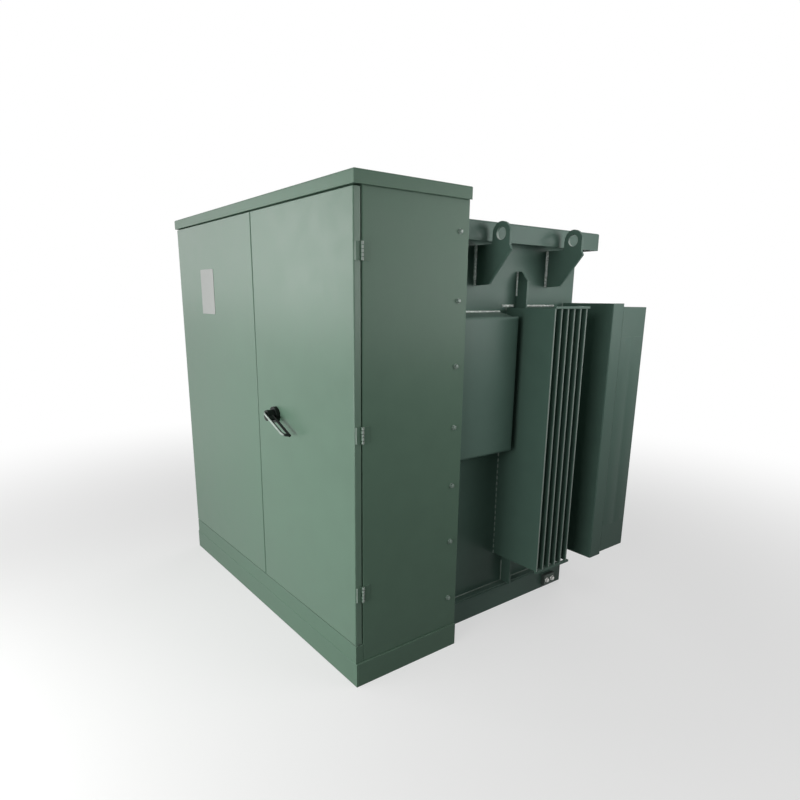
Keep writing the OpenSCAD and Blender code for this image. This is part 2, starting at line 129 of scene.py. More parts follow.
class FinishSettings(bpy.types.PropertyGroup):
    cabinet_colour: colour_setting(
        "Cabinet", "Green of the doors, side panels, roof and plinth", (0.098, 0.172, 0.122)
    )
    # The tank and fin greens are the cabinet's paint made a little darker, a painted shade for parts that
    # stand in shadow.
    tank_colour: colour_setting("Tank", "Green of the tank, its lugs and its boxes", (0.092, 0.158, 0.128))
    fin_colour: colour_setting("Fins", "Green of the radiator fins and headers", (0.086, 0.150, 0.120))
    dust_colour: colour_setting("Dust", "Pale dust that settles on level faces", (0.34, 0.35, 0.32))
    handle_colour: colour_setting("Handle", "Dark coating of the door handle", (0.010, 0.014, 0.012))
    insulator_colour: colour_setting(
        "Insulator", "Moulded bushings behind the doors", (0.105, 0.090, 0.080)
    )
    spade_colour: colour_setting("Spades", "Tinned terminals behind the doors", (0.62, 0.61, 0.58))
    steel_colour: colour_setting("Bare steel", "Ground bolts and flange nuts", (0.56, 0.56, 0.54))
    plate_colour: colour_setting("Plate", "Bare plate on the wide door", (0.36, 0.375, 0.36))
    # The beads' pale colour is a painted highlight, standing in for glints on the green paint of the rippled
    # beads.
    bead_highlight_colour: colour_setting("Weld beads", "Pale paint on the lug and wall beads", (0.62, 0.67, 0.63))
    dull_steel_colour: colour_setting(
        "Dull steel", "Weathered steel of the ground pads", (0.075, 0.092, 0.082)
    )
    # This green, paler than the cabinet's, is a painted highlight standing in for glints on the panel bolts
    # and the fine beads.
    bolt_and_bead_highlight_colour: colour_setting(
        "Panel bolts", "Paler paint on the side panels' bolts and the fine beads", (0.135, 0.195, 0.160)
    )
    # Pale colour of the hinge knuckles, of real wear inside the lug eyes, and of the painted highlights on
    # the hinge bevels, the bottom of the lug bores, the fin ends and the handle's bar.
    wear_and_highlight_colour: colour_setting(
        "Wear", "Rubbed handle bar, hinges, lug eyes and fin edges", (0.36, 0.42, 0.38)
    )
    paint_roughness: share_setting("Paint roughness", "Roughness of the semi-gloss paint", 0.30)
    paint_gloss: share_setting("Paint gloss", "Level of the paint's mirror reflection", 0.13)
    door_gloss: share_setting("Door gloss", "Level of the smoother doors' mirror reflection", 0.30)
    fin_gloss: share_setting("Fin gloss", "Level of the duller fins' mirror reflection", 0.09)
    fin_dullness: share_setting("Fin dullness", "Roughness that the fins have over the other paint", 0.04)
    edge_radius: length_setting("Edge radius", "Softness of folded and cut edges in shading", 0.0022)
    peel_depth: length_setting("Peel depth", "Depth of the paint's fine ripple", 0.00016)


class FastenerSettings(bpy.types.PropertyGroup):
    panel_head: length_setting("Panel bolt", "Radius of a side panel bolt's head over its corners", 0.0086)
    panel_washer: length_setting(
        "Panel washer", "Radius of the flange under a side panel bolt's head", 0.0108
    )
    panel_inset: length_setting(
        "Panel bolt inset", "Distance of the bolt row from the side panel's rear edge", 0.046
    )
    ground_head: length_setting("Ground bolt", "Radius of a ground bolt's head over its corners", 0.0105)
    ground_washer: length_setting("Ground washer", "Radius of a ground bolt's washer", 0.0135)
    flange_nut: length_setting("Flange nut", "Radius of a bushing flange's nuts over their corners", 0.0080)
    seed: IntProperty(name="Seed", description="Seed for how far each head was turned", default=7, min=0)


class WeldSettings(bpy.types.PropertyGroup):
    lug_bead: length_setting("Lug bead", "Radius of the fillet welds on the lifting lugs", 0.0085)
    wall_bead: length_setting("Wall bead", "Radius of the seams on the tank's walls", 0.0055)
    fine_bead: length_setting(
        "Fine bead", "Radius of the thin beads at the fins and the tank's foot", 0.0040
    )
    ripple_pitch: length_setting("Ripple pitch", "Distance between neighbouring ripples of a bead", 0.009)
    ripple: share_setting("Ripple", "Share of a bead's radius that its ripples take", 0.34)
    seed: IntProperty(name="Seed", description="Seed for the uneven width of the beads", default=11, min=0)


class StageSettings(bpy.types.PropertyGroup):
    floor_colour: colour_setting("Floor", "Pale studio floor", (0.80, 0.80, 0.79))
    floor_bounce: share_setting("Floor bounce", "Share of the light that the floor throws back", 0.08)
    floor_lift: share_setting("Floor lift", "Share of plain white in the floor beside the part", 0.55)
    sky_level: FloatProperty(
        name="Sky level", description="Soft light from all round", default=0.05, min=0.0
    )
    key_power: power_setting("Key", "Power of the front softbox", 52.0)
    side_power: power_setting("Side", "Power of the softbox on the left", 28.0)
    sheen_power: power_setting("Sheen", "Power of the softbox that the narrow door mirrors", 62.0)
    right_power: power_setting("Right", "Power of the softbox on the right, behind the side panel", 22.0)
    fill_power: power_setting("Fill", "Power of the softbox in front of the right side", 85.0)
    over_power: power_setting("Overhead", "Power of the overhead softbox", 60.0)
    rear_power: power_setting("Rear", "Power of the softbox behind", 110.0)
    camera_place: FloatVectorProperty(
        name="Camera", description="Place of the camera", default=(2.6353, -1.9686, 1.531), size=3,
        subtype="TRANSLATION", unit="LENGTH",
    )
    camera_heading: FloatProperty(
        name="Heading", description="Turn of the camera about the vertical", default=math.radians(52.898),
        subtype="ANGLE", unit="ROTATION",
    )
    camera_dip: FloatProperty(
        name="Dip", description="Angle of the camera below level", default=math.radians(13.910),
        subtype="ANGLE", unit="ROTATION",
    )
    camera_roll: FloatProperty(
        name="Roll", description="Turn of the camera about its own axis", default=0.007, subtype="ANGLE",
        unit="ROTATION",
    )


# Node helpers


def put(tree, kind, inputs=None, **settings):
    """Adds a node, sets its options, and links or sets its inputs."""
    node = tree.nodes.new(kind)
    for key, value in settings.items():
        setattr(node, key, value)
    for key, value in (inputs or {}).items():
        if isinstance(value, bpy.types.NodeSocket):
            tree.links.new(value, node.inputs[key])
        else:
            node.inputs[key].default_value = value
    return node


def sockets(tree, direction, listed):
    for name, kind in listed:
        tree.interface.new_socket(name, in_out=direction, socket_type="NodeSocket" + kind)


def maths(tree, operation, first, second=0.0):
    return put(tree, "ShaderNodeMath", {0: first, 1: second}, operation=operation).outputs[0]


def between(tree, value, low, high, to_low=0.0, to_high=1.0):
    """Maps a value from one range to another, and stops at the ends."""
    return put(
        tree, "ShaderNodeMapRange",
        {"Value": value, "From Min": low, "From Max": high, "To Min": to_low, "To Max": to_high},
    ).outputs["Result"]


def blend_colour(tree, share, first, second):
    """Mixes two colours. The shader's mix node has its share at socket 0 and its colours at 6 and 7."""
    return put(tree, "ShaderNodeMix", {0: share, 6: first, 7: second}, data_type="RGBA").outputs[2]


def opaque(colour):
    return (colour[0], colour[1], colour[2], 1.0)


# Shader groups


def shader_group(name, inputs, outputs):
    """A new shader group, the outputs of its entry node and the inputs of its exit node."""
    tree = bpy.data.node_groups.new(name, "ShaderNodeTree")
    sockets(tree, "INPUT", inputs)
    sockets(tree, "OUTPUT", outputs)
    entry = tree.nodes.new("NodeGroupInput")
    leave = tree.nodes.new("NodeGroupOutput")
    return tree, entry.outputs, leave.inputs


def paint_film_group():
    """Sprayed paint: slow tone changes, faint blotches and a fine orange-peel ripple."""
    tree, given, result = shader_group(
        "paint_film",
        [("Vector", "Vector"), ("Colour", "Color"), ("Mottle", "Float"), ("Grain", "Float"),
         ("Roughness", "Float")],
        [("Colour", "Color"), ("Roughness", "Float"), ("Height", "Float")],
    )
    slow_scale = 1.6
    peel_scale = 230.0
    speck_scale = 900.0
    slow_part = 0.35
    speck_part = 0.18
    darkest = 0.1
    roughness_swing = 0.06
    place = given["Vector"]
    slow = put(tree, "ShaderNodeTexNoise", {"Vector": place, "Scale": slow_scale, "Detail": 2.0})
    blotch = put(tree, "ShaderNodeTexNoise", {"Vector": place, "Scale": given["Grain"], "Detail": 4.0})
    peel = put(tree, "ShaderNodeTexNoise", {"Vector": place, "Scale": peel_scale, "Detail": 1.0})
    speck = put(tree, "ShaderNodeTexNoise", {"Vector": place, "Scale": speck_scale, "Detail": 0.0})
    tone = maths(tree, "ADD", maths(tree, "MULTIPLY", slow.outputs["Fac"], slow_part),
                 maths(tree, "MULTIPLY", blotch.outputs["Fac"], 1.0 - slow_part))
    lift = between(tree, tone, 0.2, 0.8, -1.0, 1.0)
    swing = maths(tree, "ADD", maths(tree, "MULTIPLY", lift, given["Mottle"]), 1.0)
    shade = put(tree, "ShaderNodeVectorMath", {0: given["Colour"]}, operation="SCALE")
    tree.links.new(maths(tree, "MAXIMUM", swing, darkest), shade.inputs["Scale"])
    patchy = between(tree, blotch.outputs["Fac"], 0.3, 0.7, 0.0, roughness_swing)
    rough = maths(tree, "ADD", given["Roughness"], patchy)
    specks = maths(tree, "MULTIPLY", speck.outputs["Fac"], speck_part)
    height = maths(tree, "ADD", peel.outputs["Fac"], specks)
    tree.links.new(shade.outputs[0], result["Colour"])
    tree.links.new(rough, result["Roughness"])
    tree.links.new(height, result["Height"])
    return tree


def settled_dust_group():
    """Thin dust on faces that look upwards, broken up by noise."""
    tree, given, result = shader_group(
        "settled_dust",
        [("Vector", "Vector"), ("Colour", "Color"), ("Roughness", "Float"), ("Dust", "Color"),
         ("Amount", "Float")],
        [("Colour", "Color"), ("Roughness", "Float")],
    )
    facing = put(tree, "ShaderNodeSeparateXYZ", {0: put(tree, "ShaderNodeNewGeometry").outputs["Normal"]})
    cloud = put(tree, "ShaderNodeTexNoise", {"Vector": given["Vector"], "Scale": 5.0, "Detail": 6.0})
    level = between(tree, facing.outputs["Z"], 0.35, 0.95)
    patch = between(tree, cloud.outputs["Fac"], 0.30, 0.72, 0.35, 1.0)
    share = maths(tree, "MULTIPLY", maths(tree, "MULTIPLY", level, patch), given["Amount"])
    tree.links.new(blend_colour(tree, share, given["Colour"], given["Dust"]), result["Colour"])
    duller = maths(tree, "MULTIPLY", share, 0.5)
    tree.links.new(maths(tree, "ADD", given["Roughness"], duller), result["Roughness"])
    return tree


def edge_catch_group():
    """Rounded shading of sharp edges, and a mask of where those edges are."""
    tree, given, result = shader_group(
        "edge_catch", [("Radius", "Float")], [("Mask", "Float"), ("Normal", "Vector")]
    )
    soft = put(tree, "ShaderNodeBevel", {"Radius": given["Radius"]}, samples=6)
    true = put(tree, "ShaderNodeNewGeometry").outputs["True Normal"]
    likeness = put(tree, "ShaderNodeVectorMath", {0: soft.outputs[0], 1: true}, operation="DOT_PRODUCT")
    tree.links.new(between(tree, likeness.outputs["Value"], 0.985, 0.80), result["Mask"])
    tree.links.new(soft.outputs[0], result["Normal"])
    return tree


def drawn_grain_group():
    """Fine scratches along X, for bare and tinned metal."""
    tree, given, result = shader_group(
        "drawn_grain",
        [("Vector", "Vector"), ("Roughness", "Float")],
        [("Roughness", "Float"), ("Height", "Float")],
    )
    stretch = put(tree, "ShaderNodeMapping", {"Vector": given["Vector"], "Scale": (60.0, 900.0, 900.0)})
    lines = put(tree, "ShaderNodeTexNoise", {"Vector": stretch.outputs[0], "Scale": 1.0, "Detail": 3.0})
    streaks = between(tree, lines.outputs["Fac"], 0.3, 0.7, -0.08, 0.12)
    rough = maths(tree, "ADD", given["Roughness"], streaks)
    tree.links.new(rough, result["Roughness"])
    tree.links.new(lines.outputs["Fac"], result["Height"])
    return tree


def place_group(tree, group, inputs):
    return put(tree, "ShaderNodeGroup", inputs, node_tree=group).outputs


# Materials


def blank_material(name):
    material = bpy.data.materials.new(name)
    material.use_nodes = True
    tree = material.node_tree
    return material, tree, tree.nodes["Principled BSDF"]


def paint(name, groups, settings, colour, roughness, mottle=0.06, grain=11.0, dust=0.15, edge_highlight=0.30,
          radius=1.0, gloss=None):
    """Semi-gloss sprayed paint on steel, dusty on level faces, and paler along its edges, a painted
    highlight.
    """
    material, tree, shader = blank_material(name)
    place = put(tree, "ShaderNodeTexCoord").outputs["Object"]
    film = place_group(
        tree, groups["paint_film"],
        {"Vector": place, "Colour": opaque(colour), "Mottle": mottle, "Grain": grain,
         "Roughness": roughness},
    )
    dusty = place_group(
        tree, groups["settled_dust"],
        {"Vector": place, "Colour": film["Colour"], "Roughness": film["Roughness"],
         "Dust": opaque(settings.dust_colour), "Amount": dust},
    )
    edges = place_group(tree, groups["edge_catch"], {"Radius": radius * settings.edge_radius})
    # The paler colour blended in along the edges by the bevel mask is a painted highlight.
    thin = opaque([min(1.0, 1.9 * part + 0.02) for part in colour])
    edge_lit_colour = blend_colour(tree, maths(tree, "MULTIPLY", edges["Mask"], edge_highlight), dusty["Colour"], thin)
    ripple = put(
        tree, "ShaderNodeBump",
        {"Strength": 0.5, "Distance": settings.peel_depth, "Height": film["Height"],
         "Normal": edges["Normal"]},
    )
    tree.links.new(edge_lit_colour, shader.inputs["Base Color"])
    tree.links.new(dusty["Roughness"], shader.inputs["Roughness"])
    tree.links.new(ripple.outputs[0], shader.inputs["Normal"])
    shader.inputs["Specular IOR Level"].default_value = settings.paint_gloss if gloss is None else gloss
    return material


def blend_wear_and_highlight(tree, share, settings):
    """Blends a material's colour towards the pale wear colour by a mask; the lug mask holds real wear and a
    painted highlight, the hinge mask a paler knuckle band and a painted highlight, the fin and handle masks
    only painted highlights.
    """
    colour = tree.nodes["Principled BSDF"].inputs["Base Color"]
    base = colour.links[0].from_socket
    tree.links.new(blend_colour(tree, share, base, opaque(settings.wear_and_highlight_colour)), colour)


def hinge_paint(name, groups, settings):
    """Cabinet paint, paler on the hinges' knuckles, and with a painted highlight on the bevels of their
    leaves.
    """
    material = paint(
        name, groups, settings, settings.cabinet_colour, settings.paint_roughness, edge_highlight=0.5, radius=0.5
    )
    tree = material.node_tree
    places = put(tree, "ShaderNodeTexCoord")
    place = put(tree, "ShaderNodeSeparateXYZ", {0: places.outputs["Object"]}).outputs
    facing = put(tree, "ShaderNodeSeparateXYZ", {0: places.outputs["Normal"]}).outputs
    out = maths(tree, "ABSOLUTE", place["X"])
    tip = box_high("right_frame_hinges").x
    band_start = 0.0035
    band_full = 0.0015
    knuckle = between(tree, out, tip - band_start, tip - band_full)
    # Faces turned both forward and sideways, on the leaves' bevels, are paled as a painted highlight.
    forward = maths(tree, "MULTIPLY", facing["Y"], -1.0)
    slant = maths(tree, "MULTIPLY", maths(tree, "ABSOLUTE", facing["X"]), forward)
    bevel_highlight = between(tree, slant, 0.25, 0.45, 0.0, 0.5)
    blend_wear_and_highlight(tree, maths(tree, "MAXIMUM", knuckle, bevel_highlight), settings)
    return material


def lug_paint(name, groups, settings):
    """Tank paint, paled by wear inside the lugs' eyes, with a painted highlight that makes the bottom half of
    each bore palest.
    """
    material = paint(name, groups, settings, settings.tank_colour, settings.paint_roughness)
    tree = material.node_tree
    places = put(tree, "ShaderNodeTexCoord")
    place = put(tree, "ShaderNodeSeparateXYZ", {0: places.outputs["Object"]}).outputs
    eye = next(mount for mount in frame["record"]["mounts"] if mount["name"] == "right_front_lug_eye")
    across = maths(tree, "SUBTRACT", maths(tree, "ABSOLUTE", place["X"]), eye["pos_m"][0])
    above = maths(tree, "SUBTRACT", place["Z"], eye["pos_m"][2])
    reach = maths(tree, "SQRT", maths(tree, "ADD", maths(tree, "MULTIPLY", across, across),
                                      maths(tree, "MULTIPLY", above, above)))
    bore = eye["dims"]["r_mm"] / 1000
    band_end = 0.0020
    band_full = 0.0004
    least_wear = 0.2
    inside = between(tree, reach, bore + band_end, bore + band_full)
    # The weighting towards the bottom of the bore is a painted highlight, over the wear.
    lower_half_highlight = between(tree, above, 0.4 * bore, -0.5 * bore, least_wear, 1.0)
    blend_wear_and_highlight(tree, maths(tree, "MULTIPLY", inside, lower_half_highlight), settings)
    return material


def fin_edge_highlight_paint(name, groups, settings):
    """Fin paint, with a painted highlight along the fins' outer edges."""
    rough = settings.paint_roughness + settings.fin_dullness
    material = paint(name, groups, settings, settings.fin_colour, rough, gloss=settings.fin_gloss)
    tree = material.node_tree
    places = put(tree, "ShaderNodeTexCoord")
    place = put(tree, "ShaderNodeSeparateXYZ", {0: places.outputs["Object"]}).outputs
    facing = put(tree, "ShaderNodeSeparateXYZ", {0: places.outputs["Normal"]}).outputs
    tip = box_high("right_fins").x
    rear = box_high("rear_fins").y
    out = maths(tree, "ABSOLUTE", place["X"])
    band_start = 0.004
    band_full = 0.002
    most_highlight = 0.7
    # The fins' outer end faces are paled as a painted highlight.
    side = maths(tree, "MULTIPLY", between(tree, out, tip - band_start, tip - band_full),
                 between(tree, maths(tree, "ABSOLUTE", facing["X"]), 0.4, 0.7))
    back = maths(tree, "MULTIPLY", between(tree, place["Y"], rear - band_start, rear - band_full),
                 between(tree, facing["Y"], 0.4, 0.7))
    blend_wear_and_highlight(tree, maths(tree, "MULTIPLY", maths(tree, "MAXIMUM", side, back), most_highlight), settings)
    return material


def enamel(name, groups, settings):
    """Glossy dark coating, with a painted highlight along the front of the handle's bar."""
    enamel_roughness = 0.18
    band_start = 0.012
    band_full = 0.006
    material = paint(
        name, groups, settings, settings.handle_colour, enamel_roughness, mottle=0.05, dust=0.0, edge_highlight=0.12,
        radius=0.5,
    )
    tree = material.node_tree
    places = put(tree, "ShaderNodeTexCoord")
    depth = put(tree, "ShaderNodeSeparateXYZ", {0: places.outputs["Object"]}).outputs["Y"]
    facing = put(tree, "ShaderNodeSeparateXYZ", {0: places.outputs["Normal"]}).outputs["Y"]
    front = box_low("door_handle").y
    near = between(tree, depth, front + band_start, front + band_full)
    # Faces turned forward at the bar's front are paled, a painted highlight, broken up by noise.
    front_highlight = maths(tree, "MULTIPLY", near, between(tree, facing, -0.15, -0.60))
    cloud = put(
        tree, "ShaderNodeTexNoise", {"Vector": places.outputs["Object"], "Scale": 70.0, "Detail": 3.0}
    )
    share = maths(tree, "MULTIPLY", front_highlight, between(tree, cloud.outputs["Fac"], 0.25, 0.55, 0.75, 1.0))
    blend_wear_and_highlight(tree, share, settings)
    return material


def metal(name, groups, settings, colour, roughness):
    """Bare or tinned metal with fine drawn lines."""
    line_depth = 0.00008
    material, tree, shader = blank_material(name)
    place = put(tree, "ShaderNodeTexCoord").outputs["Object"]
    film = place_group(
        tree, groups["paint_film"],
        {"Vector": place, "Colour": opaque(colour), "Mottle": 0.12, "Grain": 40.0, "Roughness": roughness},
    )
    grain = place_group(tree, groups["drawn_grain"], {"Vector": place, "Roughness": film["Roughness"]})
    edges = place_group(tree, groups["edge_catch"], {"Radius": 0.5 * settings.edge_radius})
    lines = put(
        tree, "ShaderNodeBump",
        {"Strength": 0.4, "Distance": line_depth, "Height": grain["Height"], "Normal": edges["Normal"]},
    )
    tree.links.new(film["Colour"], shader.inputs["Base Color"])
    tree.links.new(grain["Roughness"], shader.inputs["Roughness"])
    tree.links.new(lines.outputs[0], shader.inputs["Normal"])
    shader.inputs["Metallic"].default_value = 1.0
    return material


def make_materials(settings):
    groups = {
        tree.name: tree
        for tree in (paint_film_group(), settled_dust_group(), edge_catch_group(), drawn_grain_group())
    }
    rough = settings.paint_roughness
    fin_rough = rough + settings.fin_dullness
    listed = (
        # Each finish's amount for its edges sets how strongly the painted highlight pales them.
        paint("cabinet_green", groups, settings, settings.cabinet_colour, rough, edge_highlight=0.75),
        paint("door_green", groups, settings, settings.cabinet_colour, rough, gloss=settings.door_gloss),
        hinge_paint("hinge_green", groups, settings),
        paint("tank_green", groups, settings, settings.tank_colour, rough),
        paint(
            "fin_green", groups, settings, settings.fin_colour, fin_rough, edge_highlight=0.45, gloss=settings.fin_gloss
        ),
        lug_paint("lug_green", groups, settings),
        fin_edge_highlight_paint("fin_edge_green", groups, settings),
        # The bolt finish's paler green is a painted highlight.
        paint("bolt_green", groups, settings, settings.bolt_and_bead_highlight_colour, rough, edge_highlight=0.5, radius=0.5, gloss=0.8),
        # The weld finish's pale colour is a painted highlight.
        paint(
            "weld_green", groups, settings, settings.bead_highlight_colour, rough, mottle=1.3, grain=120.0, edge_highlight=0.0,
            gloss=1.0,
        ),
        paint(
            "moulded_insulator", groups, settings, settings.insulator_colour, 0.22, mottle=0.05, dust=0.2,
            edge_highlight=0.1,
        ),
        enamel("black_enamel", groups, settings),
        paint("plate_face", groups, settings, settings.plate_colour, 0.42, mottle=0.03, dust=0.0, edge_highlight=0.1),
        metal("tinned_copper", groups, settings, settings.spade_colour, 0.38),
        metal("bright_steel", groups, settings, settings.steel_colour, 0.30),
        metal("dull_steel", groups, settings, settings.dull_steel_colour, 0.55),
    )
    return {material.name: material for material in listed}


def finish(name):
    return bpy.data.materials[name]


# Geometry Nodes


def node_tree(name, listed):
    """A Geometry Nodes tree with its named inputs, and the outputs of its entry node."""
    tree = bpy.data.node_groups.new(name, "GeometryNodeTree")
    sockets(tree, "INPUT", [("Geometry", "Geometry")] + listed + [("Material", "Material")])
    sockets(tree, "OUTPUT", [("Geometry", "Geometry")])
    return tree, tree.nodes.new("NodeGroupInput").outputs


def close_tree(tree, geometry, material):
    whole = put(tree, "GeometryNodeRealizeInstances", {"Geometry": geometry})
    painted = put(tree, "GeometryNodeSetMaterial", {"Geometry": whole.outputs[0], "Material": material})
    put(tree, "NodeGroupOutput", {"Geometry": painted.outputs[0]})


def cone(tree, sides, low, high, depth, lift):
    """A cut cone that stands on a given height."""
    shape = put(
        tree, "GeometryNodeMeshCone",
        {"Vertices": sides, "Radius Top": high, "Radius Bottom": low, "Depth": depth}, fill_type="NGON",
    )
    raised = put(tree, "GeometryNodeTransform", {"Geometry": shape.outputs["Mesh"]})
    tree.links.new(put(tree, "ShaderNodeCombineXYZ", {"Z": lift}).outputs[0], raised.inputs["Translation"])
    return raised.outputs[0]


def bolt_tree():
    """Hex heads with a crown and a washer, one on each point, that stand along the point's facing."""
    tree, given = node_tree(
        "hex_bolts",
        [("Head Radius", "Float"), ("Washer Radius", "Float"), ("Head Height", "Float"), ("Seed", "Int")],
    )
    round_sides = 28
    washer_share = 0.28
    crown_share = 0.22
    rim_share = 0.93
    flats_share = 0.866
    crown_taper = 0.55
    washer_height = maths(tree, "MULTIPLY", given["Head Height"], washer_share)
    crown_height = maths(tree, "MULTIPLY", given["Head Height"], crown_share)
    washer_rim = maths(tree, "MULTIPLY", given["Washer Radius"], rim_share)
    across_flats = maths(tree, "MULTIPLY", given["Head Radius"], flats_share)
    crown_top = maths(tree, "MULTIPLY", across_flats, crown_taper)
    head_top = maths(tree, "ADD", washer_height, given["Head Height"])
    parts = (
        cone(tree, round_sides, given["Washer Radius"], washer_rim, washer_height, 0.0),
        cone(tree, 6, given["Head Radius"], given["Head Radius"], given["Head Height"], washer_height),
        cone(tree, round_sides, across_flats, crown_top, crown_height, head_top),
    )
    bolt = put(tree, "GeometryNodeJoinGeometry")
    for part in parts:
        tree.links.new(part, bolt.inputs[0])
    facing = put(tree, "GeometryNodeInputNamedAttribute", {"Name": "facing"}, data_type="FLOAT_VECTOR")
    stand = put(
        tree, "FunctionNodeAlignRotationToVector", {"Vector": facing.outputs["Attribute"]}, axis="Z"
    )
    turn = put(tree, "FunctionNodeRandomValue", {"Seed": given["Seed"]}, data_type="FLOAT")
    turn.inputs[3].default_value = math.pi / 3
    spin = put(tree, "FunctionNodeAxisAngleToRotation", {"Axis": (0, 0, 1), "Angle": turn.outputs[1]})
    both = put(tree, "FunctionNodeRotateRotation", rotation_space="LOCAL")
    tree.links.new(stand.outputs[0], both.inputs[0])
    tree.links.new(spin.outputs[0], both.inputs[1])
    placed = put(
        tree, "GeometryNodeInstanceOnPoints",
        {"Points": given["Geometry"], "Instance": bolt.outputs[0], "Rotation": both.outputs[0]},
    )
    close_tree(tree, placed.outputs[0], given["Material"])
    return tree


def bead_tree():
    """Weld beads along edges, with ripples and an uneven width."""
    tree, given = node_tree(
        "weld_beads",
        [("Bead Radius", "Float"), ("Ripple Pitch", "Float"), ("Ripple", "Float"), ("Seed", "Float")],
    )
    path = put(tree, "GeometryNodeMeshToCurve", {"Mesh": given["Geometry"]})
    step = maths(tree, "DIVIDE", given["Ripple Pitch"], 4.0)
    fine = put(tree, "GeometryNodeResampleCurve", {"Curve": path.outputs[0], "Length": step}, mode="LENGTH")
    along = put(tree, "GeometryNodeSplineParameter").outputs["Length"]
    phase = maths(tree, "MULTIPLY", maths(tree, "DIVIDE", along, given["Ripple Pitch"]), math.pi)
    arch = maths(tree, "ABSOLUTE", maths(tree, "SINE", phase))
    uneven = put(
        tree, "ShaderNodeTexNoise", {"W": given["Seed"], "Scale": 60.0, "Detail": 2.0},
        noise_dimensions="4D",
    )
    unevenness = 0.7
    slimmest = 0.8
    spread = maths(tree, "MULTIPLY", maths(tree, "SUBTRACT", uneven.outputs[0], 0.5), unevenness)
    swell = maths(tree, "ADD", maths(tree, "MULTIPLY", arch, given["Ripple"]), spread)
    radius = maths(tree, "MULTIPLY", given["Bead Radius"], maths(tree, "ADD", swell, slimmest))
    ring = put(tree, "GeometryNodeCurvePrimitiveCircle", {"Resolution": 8, "Radius": 1.0}, mode="RADIUS")
    tube = put(
        tree, "GeometryNodeCurveToMesh",
        {"Curve": fine.outputs[0], "Profile Curve": ring.outputs[0], "Scale": radius, "Fill Caps": True},
    )
    smooth = put(tree, "GeometryNodeSetShadeSmooth", {"Geometry": tube.outputs[0]})
    close_tree(tree, smooth.outputs[0], given["Material"])
    return tree


def grow(name, tree, mesh, values, body):
    """Runs a tree on a mesh of points or edges, and leaves one plain mesh that rides a body."""
    source = bpy.data.objects.new(name + "_source", mesh)
    bpy.context.scene.collection.objects.link(source)
    modifier = source.modifiers.new("nodes", "NODES")
    modifier.node_group = tree
    for item in tree.interface.items_tree:
        if item.item_type == "SOCKET" and item.in_out == "INPUT" and item.name in values:
            modifier[item.identifier] = values[item.name]
    graph = bpy.context.evaluated_depsgraph_get()
    made = bpy.data.meshes.new_from_object(source.evaluated_get(graph))
    source.modifiers.remove(modifier)
    bpy.data.objects.remove(source)
    if not made.polygons:
        raise RuntimeError(name + " came out empty")
    return seat(name, made, body)


def seat(name, mesh, body):
    mesh.name = name
    piece = bpy.data.objects.new(name, mesh)
    bpy.context.scene.collection.objects.link(piece)
    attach(piece, body)
    return piece


def point_mesh(name, points):
    """Loose points, each with the direction that its bolt stands along."""
    mesh = bpy.data.meshes.new(name)
    mesh.from_pydata([place for place, facing in points], [], [])
    stored = mesh.attributes.new("facing", "FLOAT_VECTOR", "POINT")
    for entry, (place, facing) in zip(stored.data, points):
        entry.vector = facing
    return mesh


def line_mesh(name, lines):
    """Loose edges, one for each weld."""
    mesh = bpy.data.meshes.new(name)
    ends = [end for line in lines for end in line]
    mesh.from_pydata(ends, [(i, i + 1) for i in range(0, len(ends), 2)], [])
    return mesh


def tree_named(name, maker):
    return bpy.data.node_groups.get(name) or maker()


# Operators


class TRANSFORMER_OT_finish_steelwork(bpy.types.Operator):
    """Give every CAD piece its paint, metal or insulator finish"""

    bl_idname = "transformer.finish_steelwork"
    bl_label = "Finish steelwork"

    def execute(self, context):
        make_materials(context.scene.transformer_finish)
        slots = {part["node"]: part["material_slot"] for part in frame["record"]["subparts"]}
        for name, piece in frame["nodes"].items():
            piece.data.materials.clear()
            piece.data.materials.append(finish(FINISH_OF_NODE.get(name, FINISH_OF_SLOT[slots[name]])))
        return {"FINISHED"}


class TRANSFORMER_OT_panel_bolts(bpy.types.Operator):
    """Add the row of bolts that holds each side panel to the tank's front plate"""

    bl_idname = "transformer.panel_bolts"
    bl_label = "Side panel bolts"

    heights = (0.244, 0.513, 0.766, 1.018, 1.270, 1.527, 1.786)

    def execute(self, context):
        settings = context.scene.transformer_fasteners
        face = box_high("cabinet_right_side")
        y = face.y - settings.panel_inset
        points = [((side * face.x, y, z), (side, 0, 0)) for side in SIDES for z in self.heights]
        grow(
            "side_panel_bolts", tree_named("hex_bolts", bolt_tree), point_mesh("panel_bolt_points", points),
            {"Head Radius": settings.panel_head, "Washer Radius": settings.panel_washer,
             "Head Height": BOLT_HEAD_HEIGHT, "Seed": settings.seed, "Material": finish("bolt_green")},
            "housing",
        )
        return {"FINISHED"}


class TRANSFORMER_OT_ground_bolts(bpy.types.Operator):
    """Add two bright bolts to each ground pad"""

    bl_idname = "transformer.ground_bolts"
    bl_label = "Ground bolts"

    spacing = 0.044

    def execute(self, context):
        settings = context.scene.transformer_fasteners
        low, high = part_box("ground_pads")
        y = (low.y + high.y) / 2
        z = (low.z + high.z) / 2
        points = [
            ((side * high.x, y + end * self.spacing / 2, z), (side, 0, 0))
            for side in SIDES
            for end in SIDES
        ]
        grow(
            "ground_bolts", tree_named("hex_bolts", bolt_tree), point_mesh("ground_bolt_points", points),
            {"Head Radius": settings.ground_head, "Washer Radius": settings.ground_washer,
             "Head Height": BOLT_HEAD_HEIGHT, "Seed": settings.seed, "Material": finish("bright_steel")},
            "housing",
        )
        return {"FINISHED"}


